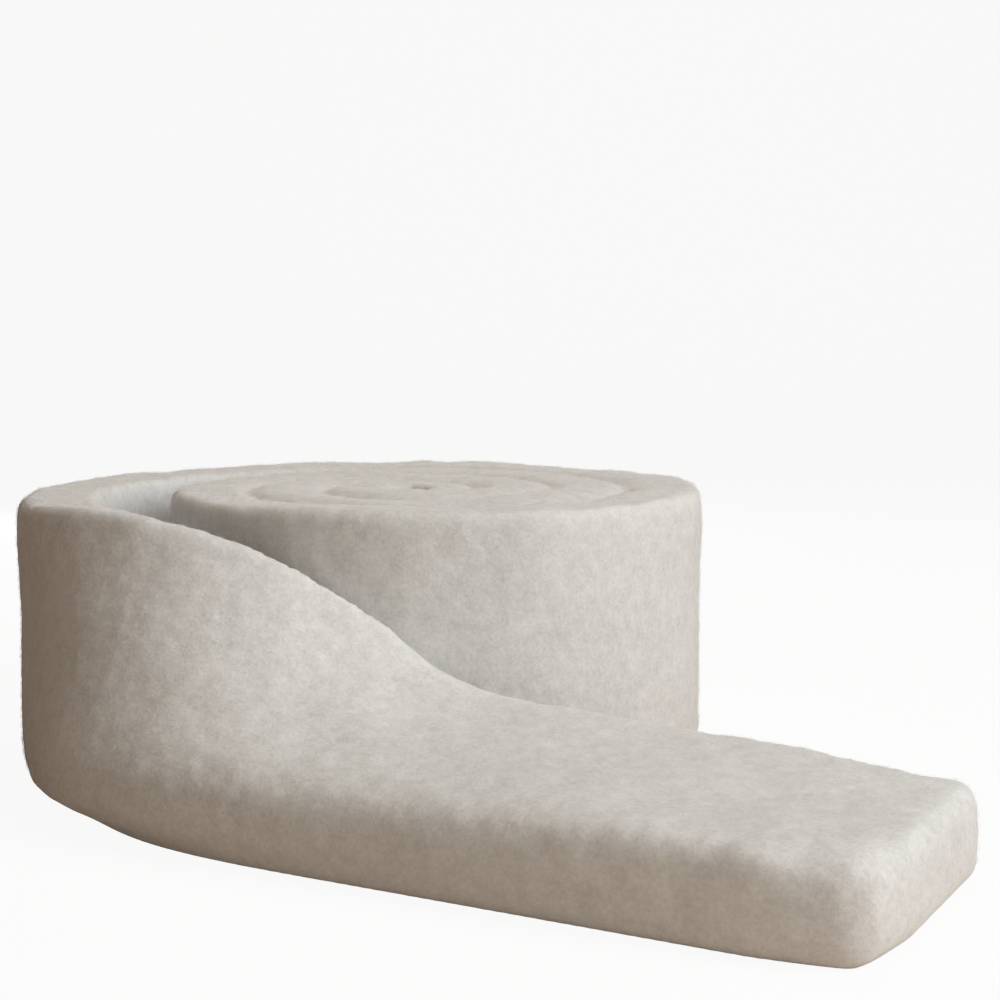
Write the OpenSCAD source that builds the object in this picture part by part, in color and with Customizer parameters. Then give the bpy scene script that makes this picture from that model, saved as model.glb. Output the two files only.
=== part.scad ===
// Insulation roll: a coreless roll of loft wadding standing on its end, with its outer end
// unwound. The loose end loops round the back, then leans over and lies flat on the floor.
// Millimetres, +Z up, origin on the floor at the middle of the roll's eye.

/* [Mat] */
// width of the mat, which is the height of the roll
mat_width = 370; // [300:5:420]
// thickness of the mat where it lies free
mat_loft = 113; // [100:1:124]
// rounding of the mat's long edges
edge_radius = 16; // [10:1:20]
// rounding of the outer foot edge where the mat leans over
foot_radius = 60; // [44:2:70]
// rounding of the same edge where the mat lies
free_radius = 32; // [24:1:40]
// rounding of the rim of the cut end
end_radius = 28; // [10:1:36]

/* [Roll] */
// diameter of the eye
eye_d = 60; // [44:2:80]
// thickness that one wound turn adds to the roll
turn_pitch = 108; // [92:1:112]
// number of wound half turns
half_turns = 6; // [4:1:8]
// how far the roll is turned on the floor, which sets where its loose end leaves it
set_angle = -46; // [-60:1:-30]

/* [Loose end] */
// how much the radius of the standing loop is larger than the roll's
loop_slack = 108; // [90:2:160]
// angle of the standing loop
loop_angle = 153; // [140:1:162]
// length over which the mat leans over
twist_length = 750; // [650:10:900]
// change of direction while the mat leans over
twist_turn = 44; // [36:1:52]
// lean of the mat where the twist ends
twist_lean = 83; // [74:1:86]
// length that lies on the floor
lying_length = 540; // [300:10:900]
// smallest space between the loose end and the roll
roll_gap = 6; // [4:1:40]

/* [Hidden] */
$fn = 96;
// Wound turns lap by this much, so that they are one body below their rounded edges.
turn_lap = 2;
// The eye's bore takes this much more than the rounded edge off the first turn.
eye_trim = 2;
// The leaning end starts this far inside the loop and this much smaller all round, so that
// the two join along one clean outline.
join_lap = 8;
join_inset = 0.3;
corner_steps = 4;
twist_steps = 36;
lying_steps = 8;
end_steps = 5;

function smooth(u) = u * u * (3 - 2 * u);

// Directions on the floor: along the mat's length, and out of its outer face.
function along(heading) = [cos(heading), sin(heading)];
function outward(heading) = [sin(heading), -cos(heading)];

// The mat is built with its loose end leaving the roll at +Y, and turned when it is whole.
leave_angle = 90;

// Half turns have their centres by turns at the eye and half a pitch away from it, and each
// is half a pitch larger than the one before, so one runs into the next.
eye_r = eye_d / 2;
wound_loft = turn_pitch + turn_lap;
// The first half turn starts inside the eye, so that the bore takes off its rounded edge.
first_mid_r = eye_r - edge_radius - eye_trim + wound_loft / 2;
last = half_turns - 1;
function mid_r(k) = first_mid_r + k * turn_pitch / 2;
function end_angle(k) = leave_angle - 180 * (last - k);
function centre(k) = k % 2 == 0 ? [0, 0] : -turn_pitch / 2 * along(end_angle(0));
roll_centre = centre(last);
roll_r = mid_r(last) + wound_loft / 2;

// The loop is an arc that leaves the roll without a kink.
loop_r = roll_r + loop_slack;
loop_centre = roll_centre - loop_slack * along(leave_angle);
loop_heading = leave_angle + 90 + loop_angle;
loop_foot = loop_centre + loop_r * outward(loop_heading);

// Outline of the mat's section: x through the thickness from the inner face, y up the width.
function corner(cx, cy, r, start) =
    [for (i = [0 : corner_steps])
        let (a = start + 90 * i / corner_steps)
        [cx + r * cos(a), cy + r * sin(a)]];
// The outer foot edge has its own rounding, and an inset draws the whole outline in.
function section(loft, foot_r = edge_radius, inset = 0) =
    let (r = max(edge_radius, inset + 1))
    concat(
        corner(r, r, r - inset, 180),
        corner(loft - foot_r, foot_r, foot_r - inset, 270),
        corner(loft - r, mat_width - r, r - inset, 0),
        corner(r, mat_width - r, r - inset, 90));

// One section of the loose end, leaning inwards on the rounded edge that stays on the floor.
// The foot is that of the outer face while the mat stands.
function ring(foot, heading, lean, loft, foot_r, inset = join_inset) =
    let (pivot = foot - loft * pow(1 - sin(lean), 2) * outward(heading),
         drop = edge_radius * (sin(lean) + cos(lean) - 1))
    [for (p = section(loft, foot_r, inset))
        let (plan = pivot + (p[0] * cos(lean) - p[1] * sin(lean)) * outward(heading))
        [plan[0], plan[1], p[0] * sin(lean) + p[1] * cos(lean) - drop]];

// Heading, lean, thickness and foot edge along the twist, u going from 0 to 1.
function twist_heading(u) = loop_heading + twist_turn * sin(90 * u);
function twist_leaning(u) = twist_lean * smooth(u);
function twist_loft(u) = wound_loft + (mat_loft - wound_loft) * smooth(u);
function twist_foot(u) =
    let (r = edge_radius + (free_radius - edge_radius) * smooth(u))
    r + (foot_radius - r) * sin(180 * u);
lying_heading = twist_heading(1);

// Foot line of the outer face along the twist, which follows its headings step by step.
function twist_path(start) = [
    for (i = 0, at = start; i <= twist_steps; i = i + 1,
         at = at + twist_length / twist_steps * along(twist_heading((i - 0.5) / twist_steps)))
        at];

// Sections from the loop's end on: a straight run, the twist, the lying mat and its cut end.
// The rim of the cut end is rounded less than the foot edge that it meets.
rim_r = min(end_radius, free_radius - 1);
flat_length = lying_length - rim_r;
function loose_rings(run) =
    let (path = twist_path(loop_foot + run * along(loop_heading)),
         flat = path[twist_steps])
    concat(
        [ring(loop_foot - join_lap * along(loop_heading), loop_heading, 0, wound_loft,
              edge_radius)],
        [for (i = [0 : twist_steps])
            let (u = i / twist_steps)
            ring(path[i], twist_heading(u), twist_leaning(u), twist_loft(u),
                 twist_foot(u))],
        [for (i = [1 : lying_steps])
            let (u = i / lying_steps)
            ring(flat + u * flat_length * along(lying_heading), lying_heading,
                 twist_lean + (90 - twist_lean) * u, mat_loft, free_radius)],
        [for (i = [1 : end_steps])
            let (a = 90 * i / end_steps)
            ring(flat + (flat_length + rim_r * sin(a)) * along(lying_heading), lying_heading,
                 90, mat_loft, free_radius, max(join_inset, rim_r * (1 - cos(a))))]);

// The straight run is just long enough to keep every section clear of the roll.
function run_for(p) =
    let (b = p * along(loop_heading),
         c = p * p - pow(roll_r + roll_gap, 2))
    c < 0 ? sqrt(b * b - c) - b : 0;
run_length = max([for (r = loose_rings(0), p = r) run_for([p[0], p[1]] - roll_centre)]);

// Skin through a list of rings that all have the same number of points.
module skin(rings) {
    n = len(rings[0]);
    top = len(rings) - 1;
    sides = [for (k = [0 : top - 1], i = [0 : n - 1], half = [0, 1])
        let (j = (i + 1) % n)
        half == 0
            ? [k * n + i, k * n + j, (k + 1) * n + j]
            : [k * n + i, (k + 1) * n + j, (k + 1) * n + i]];
    start_cap = [for (i = [0 : n - 1]) n - 1 - i];
    end_cap = [for (i = [0 : n - 1]) top * n + i];
    polyhedron([for (r = rings, p = r) p], concat([start_cap, end_cap], sides), convexity = 8);
}

// Half a turn of the wound mat, ending at its own end angle.
module half_turn(k) {
    translate([centre(k)[0], centre(k)[1], 0])
        rotate([0, 0, end_angle(k) - 180])
            rotate_extrude(angle = 180, convexity = 4)
                translate([mid_r(k) - wound_loft / 2, 0])
                    polygon(section(wound_loft));
}

// The folded start of the mat, which fills the middle beside the eye.
module folded_start() {
    translate([centre(1)[0], centre(1)[1], 0])
        rotate([0, 0, end_angle(0)])
            rotate_extrude(angle = 180, convexity = 4)
                intersection() {
                    translate([mid_r(-1) - wound_loft / 2, 0])
                        polygon(section(wound_loft));
                    square([mid_r(-1) + wound_loft / 2, mat_width]);
                }
}

// Bores the eye through what is wound round it.
module round_the_eye() {
    difference() {
        children();
        translate([0, 0, -1])
            cylinder(h = mat_width + 2, r = eye_r);
    }
}

module wound_turns() {
    round_the_eye()
        folded_start();
    for (k = [0 : last])
        round_the_eye()
            half_turn(k);
}

// The outer end stands free of the roll here, in one arc round its back.
module standing_loop() {
    translate([loop_centre[0], loop_centre[1], 0])
        rotate([0, 0, leave_angle])
            rotate_extrude(angle = loop_angle, convexity = 4)
                translate([loop_r - wound_loft, 0])
                    polygon(section(wound_loft));
}

// From the loop on, the mat turns under its own weight from standing to lying.
module loose_end() {
    skin(loose_rings(run_length));
}

module insulation_mat() {
    color("gainsboro")
        rotate([0, 0, set_angle]) {
            wound_turns();
            standing_loop();
            loose_end();
        }
}

insulation_mat();
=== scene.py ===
# %% [markdown]
# # A roll of loft wadding, part unwound
# The object is one long soft mat of wadding. It stands on its end as a roll, its outer end goes
# round the back in a loop, and then the mat leans over and lies flat on the floor.
# The fixed frame gives the mat's true size and place. This script adds what makes it soft:
# a skin that swells and dips, loose fibres, a fibrous finish, and studio light.

# %% Load the fixed frame
import math

import bpy
import numpy as np
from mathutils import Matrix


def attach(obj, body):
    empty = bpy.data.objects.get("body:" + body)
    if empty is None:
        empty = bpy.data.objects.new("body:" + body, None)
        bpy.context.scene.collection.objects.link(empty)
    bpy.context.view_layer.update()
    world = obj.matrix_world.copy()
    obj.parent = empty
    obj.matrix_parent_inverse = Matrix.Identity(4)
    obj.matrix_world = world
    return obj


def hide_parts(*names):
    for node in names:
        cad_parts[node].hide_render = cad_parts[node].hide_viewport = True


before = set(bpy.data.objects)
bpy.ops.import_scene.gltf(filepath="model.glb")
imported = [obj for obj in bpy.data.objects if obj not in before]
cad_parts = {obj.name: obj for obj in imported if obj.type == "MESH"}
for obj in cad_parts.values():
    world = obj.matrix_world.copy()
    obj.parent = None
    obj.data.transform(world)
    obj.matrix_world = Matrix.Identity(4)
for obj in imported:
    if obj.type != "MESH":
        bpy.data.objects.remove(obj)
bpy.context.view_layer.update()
scene = bpy.context.scene
scene.view_settings.view_transform = "Standard"

# %% [markdown]
# ## The camera
# The camera comes first, so that every later step can be judged in its picture. Its place and
# lens were found by fitting the frame's outlines to the photograph: it stands low in front of
# the roll and looks slightly down. A lens is its focal length in pixels times the sensor's
# width, over the picture's width.

# %% Set up the camera
IMAGE_PX = 1000
FOCAL_PX = 1817
SENSOR_MM = 36
CAMERA_AT = (0.136, -2.632, 0.617)
CAMERA_DOWN = 0.101

camera_data = bpy.data.cameras.new("camera")
camera_data.sensor_width = SENSOR_MM
camera_data.lens = SENSOR_MM * FOCAL_PX / IMAGE_PX
camera = bpy.data.objects.new("camera", camera_data)
camera.location = CAMERA_AT
camera.rotation_euler = (math.pi / 2 - CAMERA_DOWN, 0, 0)
scene.collection.objects.link(camera)
scene.camera = camera
print("lens in millimetres:", round(camera_data.lens, 1))

# %% [markdown]
# ## Helpers for every piece
# An operator acts on whatever is selected, so each step first picks its one piece. A modifier
# is applied as soon as it is set up, which leaves a plain mesh for the next step. Vertices are
# chosen by a test on their places or normals, as a box select does by hand.

# %% Pick a piece, apply a modifier, choose vertices
def pick(piece):
    bpy.ops.object.select_all(action="DESELECT")
    piece.select_set(True)
    bpy.context.view_layer.objects.active = piece


def apply_modifier(piece, kind, **settings):
    pick(piece)
    modifier = piece.modifiers.new(kind.lower(), kind)
    for name, value in settings.items():
        setattr(modifier, name, value)
    bpy.ops.object.modifier_apply(modifier=modifier.name)


def vertex_values(piece, name):
    """Places ("co") or normals ("normal") of all vertices, one row each."""
    values = np.zeros(len(piece.data.vertices) * 3, np.float32)
    piece.data.vertices.foreach_get(name, values)
    return values.reshape(-1, 3)


def edit_vertices(piece, chosen):
    """Opens a piece in edit mode with only the chosen vertices selected."""
    pick(piece)
    bpy.ops.object.mode_set(mode="EDIT")
    bpy.ops.mesh.select_mode(type="VERT")
    bpy.ops.mesh.select_all(action="DESELECT")
    bpy.ops.object.mode_set(mode="OBJECT")
    piece.data.vertices.foreach_set("select", chosen)
    bpy.ops.object.mode_set(mode="EDIT")


# %% [markdown]
# ## The soft mat
# Wadding has no cover that is stretched over a filling: it is soft right through. So its shape
# is not blown up by a cloth simulation. It starts as a copy of the frame's solid, whose loose
# triangles are merged. The copy brings stored normals with it, which would shade the new skin
# in flat bands, so they are cleared. A voxel remesh then gives it an even skin of small faces.
# It would bridge the narrow gap between the roll and the loose end, so a Displace first draws
# the copy in a little, and afterwards a Shrinkwrap lays the skin back onto the solid.

# %% Copy the solid and give it an even skin
VOXEL = 0.0072
MERGE = 0.0002
DRAWN_IN = 0.004

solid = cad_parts["insulation_mat"]
mat = bpy.data.objects.new("wadding_mat", solid.data.copy())
scene.collection.objects.link(mat)
pick(mat)
bpy.ops.object.mode_set(mode="EDIT")
bpy.ops.mesh.select_all(action="SELECT")
bpy.ops.mesh.remove_doubles(threshold=MERGE)
bpy.ops.object.mode_set(mode="OBJECT")
bpy.ops.mesh.customdata_custom_splitnormals_clear()
apply_modifier(mat, "DISPLACE", strength=-DRAWN_IN, mid_level=0)
mat.data.use_remesh_preserve_attributes = False
mat.data.remesh_voxel_size = VOXEL
bpy.ops.object.voxel_remesh()
apply_modifier(mat, "SHRINKWRAP", target=solid, wrap_method="NEAREST_SURFACEPOINT")
print("faces of the even skin:", len(mat.data.polygons))

# %% [markdown]
# The solid's curved walls are made of narrow flats, which would show as bands. Strong smoothing
# takes them out, but it would also wear the rims away. So a copy is smoothed first, to see how
# far each vertex would go: a vertex on a rim goes far, and one on a wall hardly moves. A vertex
# group made from that lets the strong smoothing work on the walls alone.

# %% Smooth the walls and keep the rims
SMOOTH_FACTOR = 0.5
STRONG_ROUNDS = 60
RIM_ROUNDS = 8
WALL_MOVE = 0.0014
RIM_MOVE = 0.004
GROUP_LEVELS = 100


def ramp(values, low, high):
    """0 below low, 1 above high, and a smooth rise between them."""
    share = np.clip((values - low) / (high - low), 0, 1)
    return share * share * (3 - 2 * share)


def weigh(piece, name, weights):
    """A vertex group with these weights, rounded to whole per cents."""
    group = piece.vertex_groups.new(name=name)
    levels = np.round(weights * GROUP_LEVELS).astype(int)
    for level in range(1, GROUP_LEVELS + 1):
        group.add(np.flatnonzero(levels == level).tolist(), level / GROUP_LEVELS, "REPLACE")
    return group.name


def smooth(piece, rounds, **limits):
    """Rounds of smoothing, which may be limited to a vertex group or to some axes."""
    apply_modifier(piece, "SMOOTH", factor=SMOOTH_FACTOR, iterations=rounds, **limits)


trial = bpy.data.objects.new("trial", mat.data.copy())
scene.collection.objects.link(trial)
smooth(trial, STRONG_ROUNDS)
moves = np.linalg.norm(vertex_values(trial, "co") - vertex_values(mat, "co"), axis=1)
bpy.data.objects.remove(trial)
walls = weigh(mat, "walls", 1 - ramp(moves, WALL_MOVE, RIM_MOVE))
smooth(mat, STRONG_ROUNDS, vertex_group=walls)
smooth(mat, RIM_ROUNDS)
print("share of the skin that is wall:", round(float((moves < RIM_MOVE).mean()), 2))

# %% [markdown]
# Where the mat was cut, its near corner has been handled most and is worn quite round. That
# corner is the skin's foremost vertex. It is pushed in, as with proportional editing: a vertex
# group falls off sharply round it, and two Displace modifiers move that group over the floor.
# Smoothing in those two directions takes out the crest that is left. A second smoothing, only
# up and down and only above the floor, lets the corner's top sag.

# %% Wear the near corner round
CORNER_PUSH = {"X": -0.006, "Y": 0.022}
CORNER_REACH = 0.13
CREST_ROUNDS = 60
CREST_CORE = 0.06
SAG_ROUNDS = 120
SAG_FROM = 0.03
SAG_TO = 0.09

places = vertex_values(mat, "co")
foremost = places[places[:, 1].argmin()]
away = np.hypot(*(places - foremost)[:, :2].T)
corner = weigh(mat, "corner", np.clip(1 - away / CORNER_REACH, 0, 1) ** 2)
for direction, push in CORNER_PUSH.items():
    apply_modifier(mat, "DISPLACE", direction=direction, strength=push, mid_level=0,
                   vertex_group=corner)
near = 1 - ramp(away, CREST_CORE, CORNER_REACH)
crest = weigh(mat, "crest", near)
smooth(mat, CREST_ROUNDS, vertex_group=crest, use_z=False)
sag = weigh(mat, "sag", near * ramp(places[:, 2], SAG_FROM, SAG_TO))
smooth(mat, SAG_ROUNDS, vertex_group=sag, use_x=False, use_y=False)
print("near corner at:", [round(float(v), 3) for v in foremost])

# %% [markdown]
# Where the mat leans over, its weight rests on the lower front edge, which is pressed into a
# soft roll there. A group that fades out upwards, towards the lying end and towards the back
# lets the smoothing work on that stretch of the edge, and the line on the floor stays. Each
# pair of values says where a fade starts and where it ends.

# %% Soften the edge that the mat leans on
LEAN_ROUNDS = 200
LEAN_FLOOR = (0.02, 0.06)
LEAN_TOP = (0.16, 0.24)
LEAN_RIGHT = (0.0, 0.3)
LEAN_BACK = (-0.35, -0.2)

across, deep, high = vertex_values(mat, "co").T
soft = ramp(high, *LEAN_FLOOR) * (1 - ramp(high, *LEAN_TOP))
soft = soft * (1 - ramp(across, *LEAN_RIGHT)) * (1 - ramp(deep, *LEAN_BACK))
leaning = weigh(mat, "leaning", soft)
smooth(mat, LEAN_ROUNDS, vertex_group=leaning)
print("vertices of the softened edge:", int((soft > 0).sum()))

# %% [markdown]
# Unrolled wadding keeps broad swells from being packed tight, and small tufts where fibres
# clump. They are Displace modifiers with Clouds textures, from wide to fine. Clouds have no
# random seed, so every run gives the same mat. The mat's weight presses its underside flat on
# the floor, so one more vertex group lets the swells grow only with the height above it.

# %% Add swells and tufts
PRESSED_BELOW = 0.003
FREE_ABOVE = 0.045

free = weigh(mat, "free", ramp(vertex_values(mat, "co")[:, 2], PRESSED_BELOW, FREE_ABOVE))


def add_clouds(name, size, height, depth):
    """Relief of this size and height, half of it inwards and half of it outwards."""
    clouds = bpy.data.textures.new(name, "CLOUDS")
    clouds.noise_scale = size
    clouds.noise_depth = depth
    apply_modifier(mat, "DISPLACE", texture=clouds, texture_coords="LOCAL",
                   strength=height, mid_level=0.5, vertex_group=free)


add_clouds("swells", size=0.16, height=0.009, depth=1)
add_clouds("lumps", size=0.05, height=0.004, depth=2)
add_clouds("tufts", size=0.018, height=0.0022, depth=1)
pick(mat)
bpy.ops.object.shade_smooth()
print("size of the mat in metres:", [round(v, 3) for v in mat.dimensions])

# %% [markdown]
# ## Nodes as plain sums
# Both the scatter of the fibres and the materials are graphs of nodes. This small class holds
# one socket of a graph, so that 1 - mask or mask * 0.3 adds the Math node that it needs, and
# node() adds any other node: first its settings, then the values or links of its sockets. A
# node may hold several sockets of one name, for numbers, vectors and colours, and enables the
# one that its settings ask for, so a name is looked up among the enabled sockets.

# %% Wrap a socket
def find_socket(sockets, key=None):
    """A socket by its place or its name, or the first one in use."""
    if isinstance(key, int):
        return sockets[key]
    return [socket for socket in sockets if socket.enabled and key in (None, socket.name)][0]


class Wire:
    def __init__(self, tree, socket=None):
        self.tree = tree
        self.socket = socket

    def node(self, kind, settings=None, sockets=None, out=None):
        made = self.tree.nodes.new(kind)
        for name, value in (settings or {}).items():
            setattr(made, name, value)
        for key, value in (sockets or {}).items():
            live = find_socket(made.inputs, key)
            if isinstance(value, Wire):
                self.tree.links.new(value.socket, live)
            else:
                live.default_value = value
        return Wire(self.tree, find_socket(made.outputs, out)) if made.outputs else None

    def beside(self, name):
        """Another output of the node that this wire comes from."""
        return Wire(self.tree, find_socket(self.socket.node.outputs, name))

    def maths(self, operation, first, second=0.0):
        return self.node("ShaderNodeMath", {"operation": operation}, {0: first, 1: second})

    def __add__(self, other):
        return self.maths("ADD", self, other)

    def __sub__(self, other):
        return self.maths("SUBTRACT", self, other)

    def __rsub__(self, other):
        return self.maths("SUBTRACT", other, self)

    def __mul__(self, other):
        return self.maths("MULTIPLY", self, other)

    def __pow__(self, other):
        return self.maths("POWER", self, other)

    def __abs__(self):
        return self.maths("ABSOLUTE", self)

    __radd__ = __add__
    __rmul__ = __mul__


# %% [markdown]
# ## Loose fibres
# Close up, the skin is a haze of fine crimped fibres that stand off it in small arches. One
# fibre is modelled: a long thin cone of three sides is mirrored to a spindle, and its middle is
# lifted. It is then scattered over the skin by Geometry Nodes, each copy turned and sized by a
# seeded random value, and the copies are made real, so that they are true meshes.

# %% Model one fibre
FIBRE_LENGTH = 0.010
FIBRE_THICKNESS = 0.00026
FIBRE_ARCH = 0.0022
FIBRE_SIDES = 3
FIBRE_MERGE = 1e-6

bpy.ops.object.select_all(action="DESELECT")
bpy.ops.mesh.primitive_cone_add(vertices=FIBRE_SIDES, radius1=FIBRE_THICKNESS / 2, radius2=0,
                                depth=FIBRE_LENGTH / 2, end_fill_type="NOTHING",
                                location=(0, 0, FIBRE_LENGTH / 4))
fibre = bpy.context.object
fibre.name = "fibre"
bpy.ops.object.transform_apply(location=True)
apply_modifier(fibre, "MIRROR", use_axis=(False, False, True), merge_threshold=FIBRE_MERGE)
bpy.ops.object.mode_set(mode="EDIT")
bpy.ops.mesh.select_all(action="SELECT")
bpy.ops.mesh.normals_make_consistent(inside=False)
bpy.ops.transform.rotate(value=math.pi / 2, orient_axis="Y", center_override=(0, 0, 0))
bpy.ops.object.mode_set(mode="OBJECT")
along_fibre = np.abs(vertex_values(fibre, "co")[:, 0])
edit_vertices(fibre, along_fibre < FIBRE_LENGTH / 4)
bpy.ops.transform.translate(value=(0, 0, FIBRE_ARCH))
bpy.ops.object.mode_set(mode="OBJECT")
print("faces of one fibre:", len(fibre.data.polygons))

# %% [markdown]
# The fibres lie on every face that does not look down at the floor. Points are strewn over
# those faces, and each point's own turn lays a fibre flat on the skin. A random tilt and spin
# are then added to it.

# %% Scatter the fibre over the skin
FACES_DOWN = -0.3


def open_skin(name):
    """A copy of the mat without the faces that look down."""
    skin = bpy.data.objects.new(name, mat.data.copy())
    scene.collection.objects.link(skin)
    edit_vertices(skin, vertex_values(skin, "normal")[:, 2] < FACES_DOWN)
    bpy.ops.mesh.delete(type="VERT")
    bpy.ops.object.mode_set(mode="OBJECT")
    return skin


def scatter(name, seed, per_square_metre, tilt, smallest, largest):
    """A piece of many fibres that lie on the mat's open faces."""
    haze = open_skin(name)
    tree = bpy.data.node_groups.new(name, "GeometryNodeTree")
    for way in ("INPUT", "OUTPUT"):
        tree.interface.new_socket("Geometry", in_out=way, socket_type="NodeSocketGeometry")
    wire = Wire(tree)
    skin = wire.node("NodeGroupInput")
    points = wire.node("GeometryNodeDistributePointsOnFaces", {"distribute_method": "RANDOM"},
                       {"Mesh": skin, "Density": per_square_metre, "Seed": seed})
    turn = wire.node("FunctionNodeRandomValue", {"data_type": "FLOAT_VECTOR"},
                     {"Min": (-tilt, -tilt, -math.pi), "Max": (tilt, tilt, math.pi),
                      "Seed": seed + 1})
    turn = wire.node("FunctionNodeEulerToRotation", {}, {"Euler": turn})
    turned = wire.node("FunctionNodeRotateRotation", {"rotation_space": "LOCAL"},
                       {"Rotation": points.beside("Rotation"), "Rotate By": turn})
    size = wire.node("FunctionNodeRandomValue", {"data_type": "FLOAT"},
                     {"Min": smallest, "Max": largest, "Seed": seed + 2})
    one = wire.node("GeometryNodeObjectInfo", {"transform_space": "ORIGINAL"},
                    {"Object": fibre}, out="Geometry")
    copies = wire.node("GeometryNodeInstanceOnPoints", {},
                       {"Points": points, "Instance": one, "Rotation": turned, "Scale": size})
    real = wire.node("GeometryNodeRealizeInstances", {}, {"Geometry": copies})
    wire.node("NodeGroupOutput", {}, {"Geometry": real})
    apply_modifier(haze, "NODES", node_group=tree)
    print(name, "has", len(haze.data.polygons), "faces")
    return haze


short_fibres = scatter("short_fibres", seed=11, per_square_metre=9500, tilt=0.25,
                       smallest=0.5, largest=0.9)
long_fibres = scatter("long_fibres", seed=47, per_square_metre=9500, tilt=0.2,
                      smallest=0.8, largest=1.3)
bpy.data.objects.remove(fibre)

# %% [markdown]
# ## The wadding's finish
# The wadding is a matt warm white. Where fibres clump it is a little lighter, and where the
# skin is thin it is a little darker, in clouds of one to three centimetres. Over that lie fine
# tangled lines: a noise is folded about its middle, and only the fold's sharp crest is kept.
# All of it reads Object coordinates, so it runs through the mat as a solid grain does.

# %% Start a material and its noises
def new_material(name):
    """An empty material and a wire to start its nodes from."""
    material = bpy.data.materials.new(name)
    material.use_nodes = True
    material.node_tree.nodes.clear()
    return material, Wire(material.node_tree)


def noise(wire, place, scale, detail, distortion=0.0):
    """A noise of about 1 / scale metres, from 0 to 1 with its middle at a half."""
    return wire.node("ShaderNodeTexNoise", {},
                     {"Vector": place, "Scale": scale, "Detail": detail,
                      "Distortion": distortion})


# %% [markdown]
# The tone runs from the thin colour at 0 to the thick one at 1. Each noise is weighted by how
# far it moves the tone, and the same noises raise the bump. The fibres take the same finish a
# little lighter, and without a bump, because they are too thin to show one.

# %% Make the wadding's materials
THIN_COLOUR = (0.70, 0.695, 0.685, 1)
THICK_COLOUR = (0.88, 0.875, 0.865, 1)
MIDDLE_TONE = 0.45
SWELL_TONE = 0.25
CLOUD_TONE = 1.3
SPECK_TONE = 1.5
STRAND_TONE = 0.25
STRAND_SHARPNESS = 7
SPECK_HEIGHT = 0.5
STRAND_HEIGHT = 0.12
BUMP_STRENGTH = 0.3
LEAST_ROUGHNESS = 0.9
CLOUD_ROUGHNESS = 0.1
SOFT_SHINE = {"Sheen Weight": 0.25, "Sheen Roughness": 0.6, "Specular IOR Level": 0.15}


def wadding(name, tone_shift, bump_height):
    """The finish with its tone shifted, and with a bump of this height unless it is 0."""
    material, wire = new_material(name)
    place = wire.node("ShaderNodeTexCoord", out="Object")
    swells = noise(wire, place, scale=9, detail=2)
    clouds = noise(wire, place, scale=55, detail=4)
    specks = noise(wire, place, scale=210, detail=3)
    tangle = noise(wire, place, scale=130, detail=3, distortion=1.6)
    strands = (1 - abs(tangle * 2 - 1)) ** STRAND_SHARPNESS
    tone = (swells - 0.5) * SWELL_TONE + (clouds - 0.5) * CLOUD_TONE
    tone = tone + (specks - 0.5) * SPECK_TONE
    tone = tone + strands * STRAND_TONE + (MIDDLE_TONE + tone_shift)
    tone = wire.node("ShaderNodeClamp", {}, {"Value": tone})
    colour = wire.node("ShaderNodeMix", {"data_type": "RGBA"},
                       {"Factor": tone, "A": THIN_COLOUR, "B": THICK_COLOUR})
    sockets = {"Base Color": colour, "Roughness": LEAST_ROUGHNESS + clouds * CLOUD_ROUGHNESS}
    sockets.update(SOFT_SHINE)
    if bump_height:
        height = clouds + specks * SPECK_HEIGHT + strands * STRAND_HEIGHT
        sockets["Normal"] = wire.node("ShaderNodeBump", {},
                                      {"Strength": BUMP_STRENGTH, "Distance": bump_height,
                                       "Height": height})
    shader = wire.node("ShaderNodeBsdfPrincipled", {}, sockets)
    wire.node("ShaderNodeOutputMaterial", {}, {"Surface": shader})
    return material


mat_finish = wadding("wadding_skin", tone_shift=0.0, bump_height=0.0025)
fibre_finish = wadding("wadding_fibres", tone_shift=0.1, bump_height=0)
finishes = ((mat, mat_finish), (short_fibres, fibre_finish), (long_fibres, fibre_finish))
for piece, finish in finishes:
    piece.data.materials.clear()
    piece.data.materials.append(finish)
print("nodes in the skin's finish:", len(mat_finish.node_tree.nodes))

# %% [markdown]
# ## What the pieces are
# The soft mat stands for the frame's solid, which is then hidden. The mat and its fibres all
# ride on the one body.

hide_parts("insulation_mat")
for piece in (mat, short_fibres, long_fibres):
    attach(piece, "root")

# %% [markdown]
# ## Floor and light
# The floor is a plane whose far edge is drawn up into a wall, with the corner between them
# rounded, so that no line shows behind the object. To the camera it is nearly white, but it
# keeps the object's shadow. The light that it throws back is that of a warm, darker floor.

# %% Make the floor
FLOOR_SIZE = 14
WALL_HEIGHT = 5
BEND_RADIUS = 1.6
BEND_SEGMENTS = 16

bpy.ops.object.select_all(action="DESELECT")
bpy.ops.mesh.primitive_plane_add(size=FLOOR_SIZE, location=(0, 0, 0))
floor = bpy.context.object
floor.name = "floor"
edit_vertices(floor, vertex_values(floor, "co")[:, 1] > 0)
bpy.ops.mesh.extrude_region_move(TRANSFORM_OT_translate={"value": (0, 0, WALL_HEIGHT)})
bpy.ops.object.mode_set(mode="OBJECT")
floor_places = vertex_values(floor, "co")
edit_vertices(floor, (floor_places[:, 1] > 0) & (floor_places[:, 2] < WALL_HEIGHT / 2))
bpy.ops.mesh.bevel(offset=BEND_RADIUS, segments=BEND_SEGMENTS, affect="EDGES")
bpy.ops.object.mode_set(mode="OBJECT")
bpy.ops.object.shade_smooth()
print("floor faces:", len(floor.data.polygons))

# %% [markdown]
# A Light Path node tells which rays make the picture: those from the camera, and those that
# come by gloss or through something clear. A Mix Shader shows them the white floor, and gives
# the warm one to all other rays, which light the object. Most of the white shines by itself,
# and the rest is pale paint, on which the shadow shows.

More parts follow.
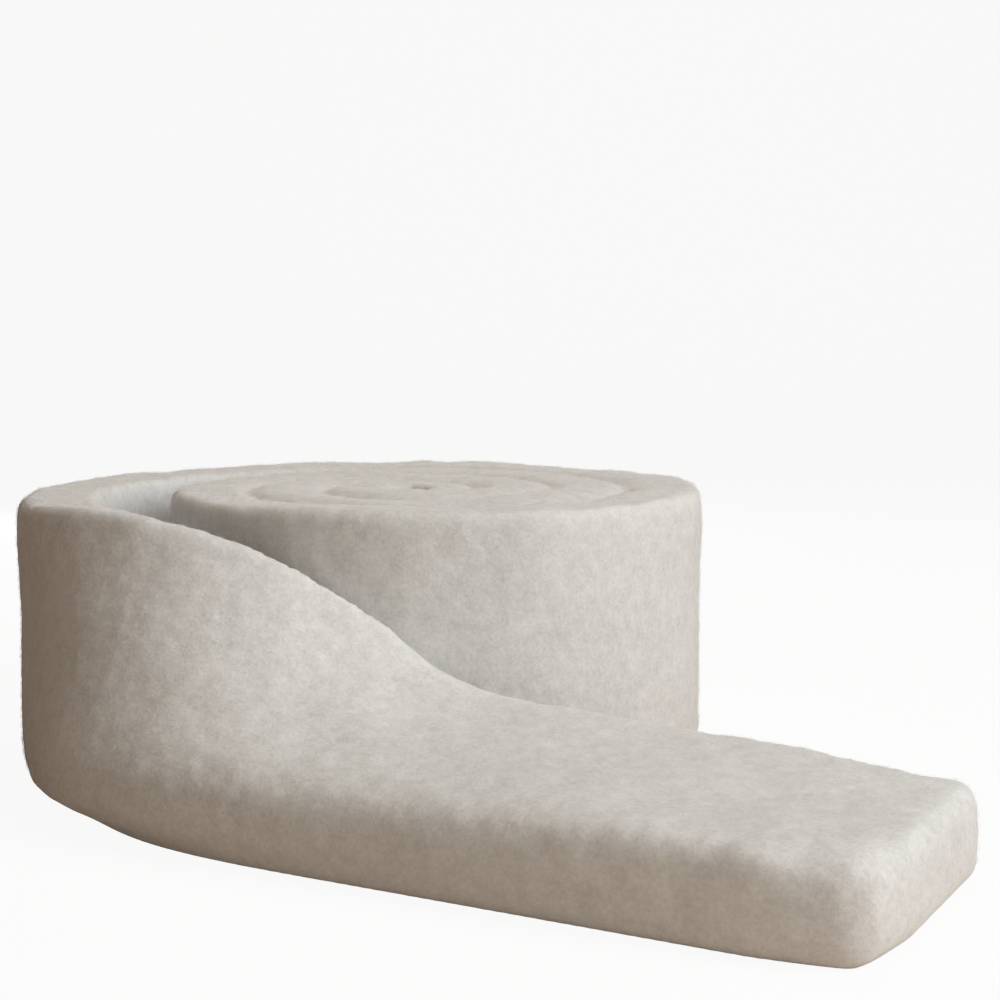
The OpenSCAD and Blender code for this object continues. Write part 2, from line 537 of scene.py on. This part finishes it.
# %% Paint the floor
PICTURE_RAYS = ("Is Camera Ray", "Is Glossy Ray", "Is Transmission Ray")
WHITE = (1, 1, 1, 1)
PALE_PAINT = (0.9, 0.9, 0.9, 1)
WARM_PAINT = (0.57, 0.45, 0.35, 1)
SHINING_SHARE = 0.93


def show(wire, output, lighting, picture):
    """Ends a graph with one look for the light on the object and one for the picture."""
    camera_ray, gloss_ray, clear_ray = [wire.node("ShaderNodeLightPath", out=ray)
                                        for ray in PICTURE_RAYS]
    seen = wire.node("ShaderNodeClamp", {}, {"Value": camera_ray + gloss_ray + clear_ray})
    both = wire.node("ShaderNodeMixShader", {}, {0: seen, 1: lighting, 2: picture})
    wire.node(output, {}, {"Surface": both})


floor_paint, wire = new_material("floor_paint")
warm = wire.node("ShaderNodeBsdfDiffuse", {}, {"Color": WARM_PAINT})
pale = wire.node("ShaderNodeBsdfDiffuse", {}, {"Color": PALE_PAINT})
white = wire.node("ShaderNodeEmission", {}, {"Color": WHITE})
shining = wire.node("ShaderNodeMixShader", {}, {0: SHINING_SHARE, 1: pale, 2: white})
show(wire, "ShaderNodeOutputMaterial", lighting=warm, picture=shining)
floor.data.materials.append(floor_paint)
print("nodes in the floor's paint:", len(floor_paint.node_tree.nodes))

# %% [markdown]
# One large soft lamp on the right gives the form its shading. Weak lamps overhead, in front and
# behind keep the top, the near side and the back light, and the room adds a dim warm fill,
# which tints the shaded side. The camera does not see the lamps themselves.

# %% Hang the lamps
def soft_lamp(name, place, aim, size, power, colour):
    """A round lamp of this size in metres and power in watts, turned to its aim."""
    data = bpy.data.lights.new(name, "AREA")
    data.shape = "DISK"
    data.size = size
    data.energy = power
    data.color = colour
    lamp = bpy.data.objects.new(name, data)
    lamp.location = place
    run = [b - a for a, b in zip(place, aim)]
    lamp.rotation_euler = (math.atan2(math.hypot(run[0], run[1]), -run[2]), 0,
                           math.atan2(run[1], run[0]) - math.pi / 2)
    lamp.visible_camera = False
    scene.collection.objects.link(lamp)


soft_lamp("key", place=(4.11, -1.82, 2.7), aim=(0.1, -0.2, 0.2),
          size=3.1, power=166, colour=(0.93, 0.98, 1))
soft_lamp("front", place=(0.3, -2.5, 0.35), aim=(0.1, -0.6, 0.1),
          size=1.4, power=8, colour=(1, 0.97, 0.9))
soft_lamp("overhead", place=(0.2, 0.2, 3.2), aim=(0.1, -0.1, 0),
          size=2.6, power=27, colour=(1, 0.91, 0.78))
soft_lamp("back", place=(-0.7, 3.2, 0.7), aim=(-0.1, 0.3, 0.2),
          size=1.2, power=32, colour=(1, 0.98, 0.96))
print("lamps:", len(bpy.data.lights))

# %% Set the room
FILL_COLOUR = (1, 0.65, 0.4, 1)
FILL_STRENGTH = 0.085
SHOWN_STRENGTH = 0.97

room = bpy.data.worlds.new("room")
scene.world = room
room.use_nodes = True
room.node_tree.nodes.clear()
wire = Wire(room.node_tree)
fill = wire.node("ShaderNodeBackground", {}, {"Color": FILL_COLOUR, "Strength": FILL_STRENGTH})
white = wire.node("ShaderNodeBackground", {}, {"Color": WHITE, "Strength": SHOWN_STRENGTH})
show(wire, "ShaderNodeOutputWorld", lighting=fill, picture=white)
print("nodes in the room:", len(room.node_tree.nodes))
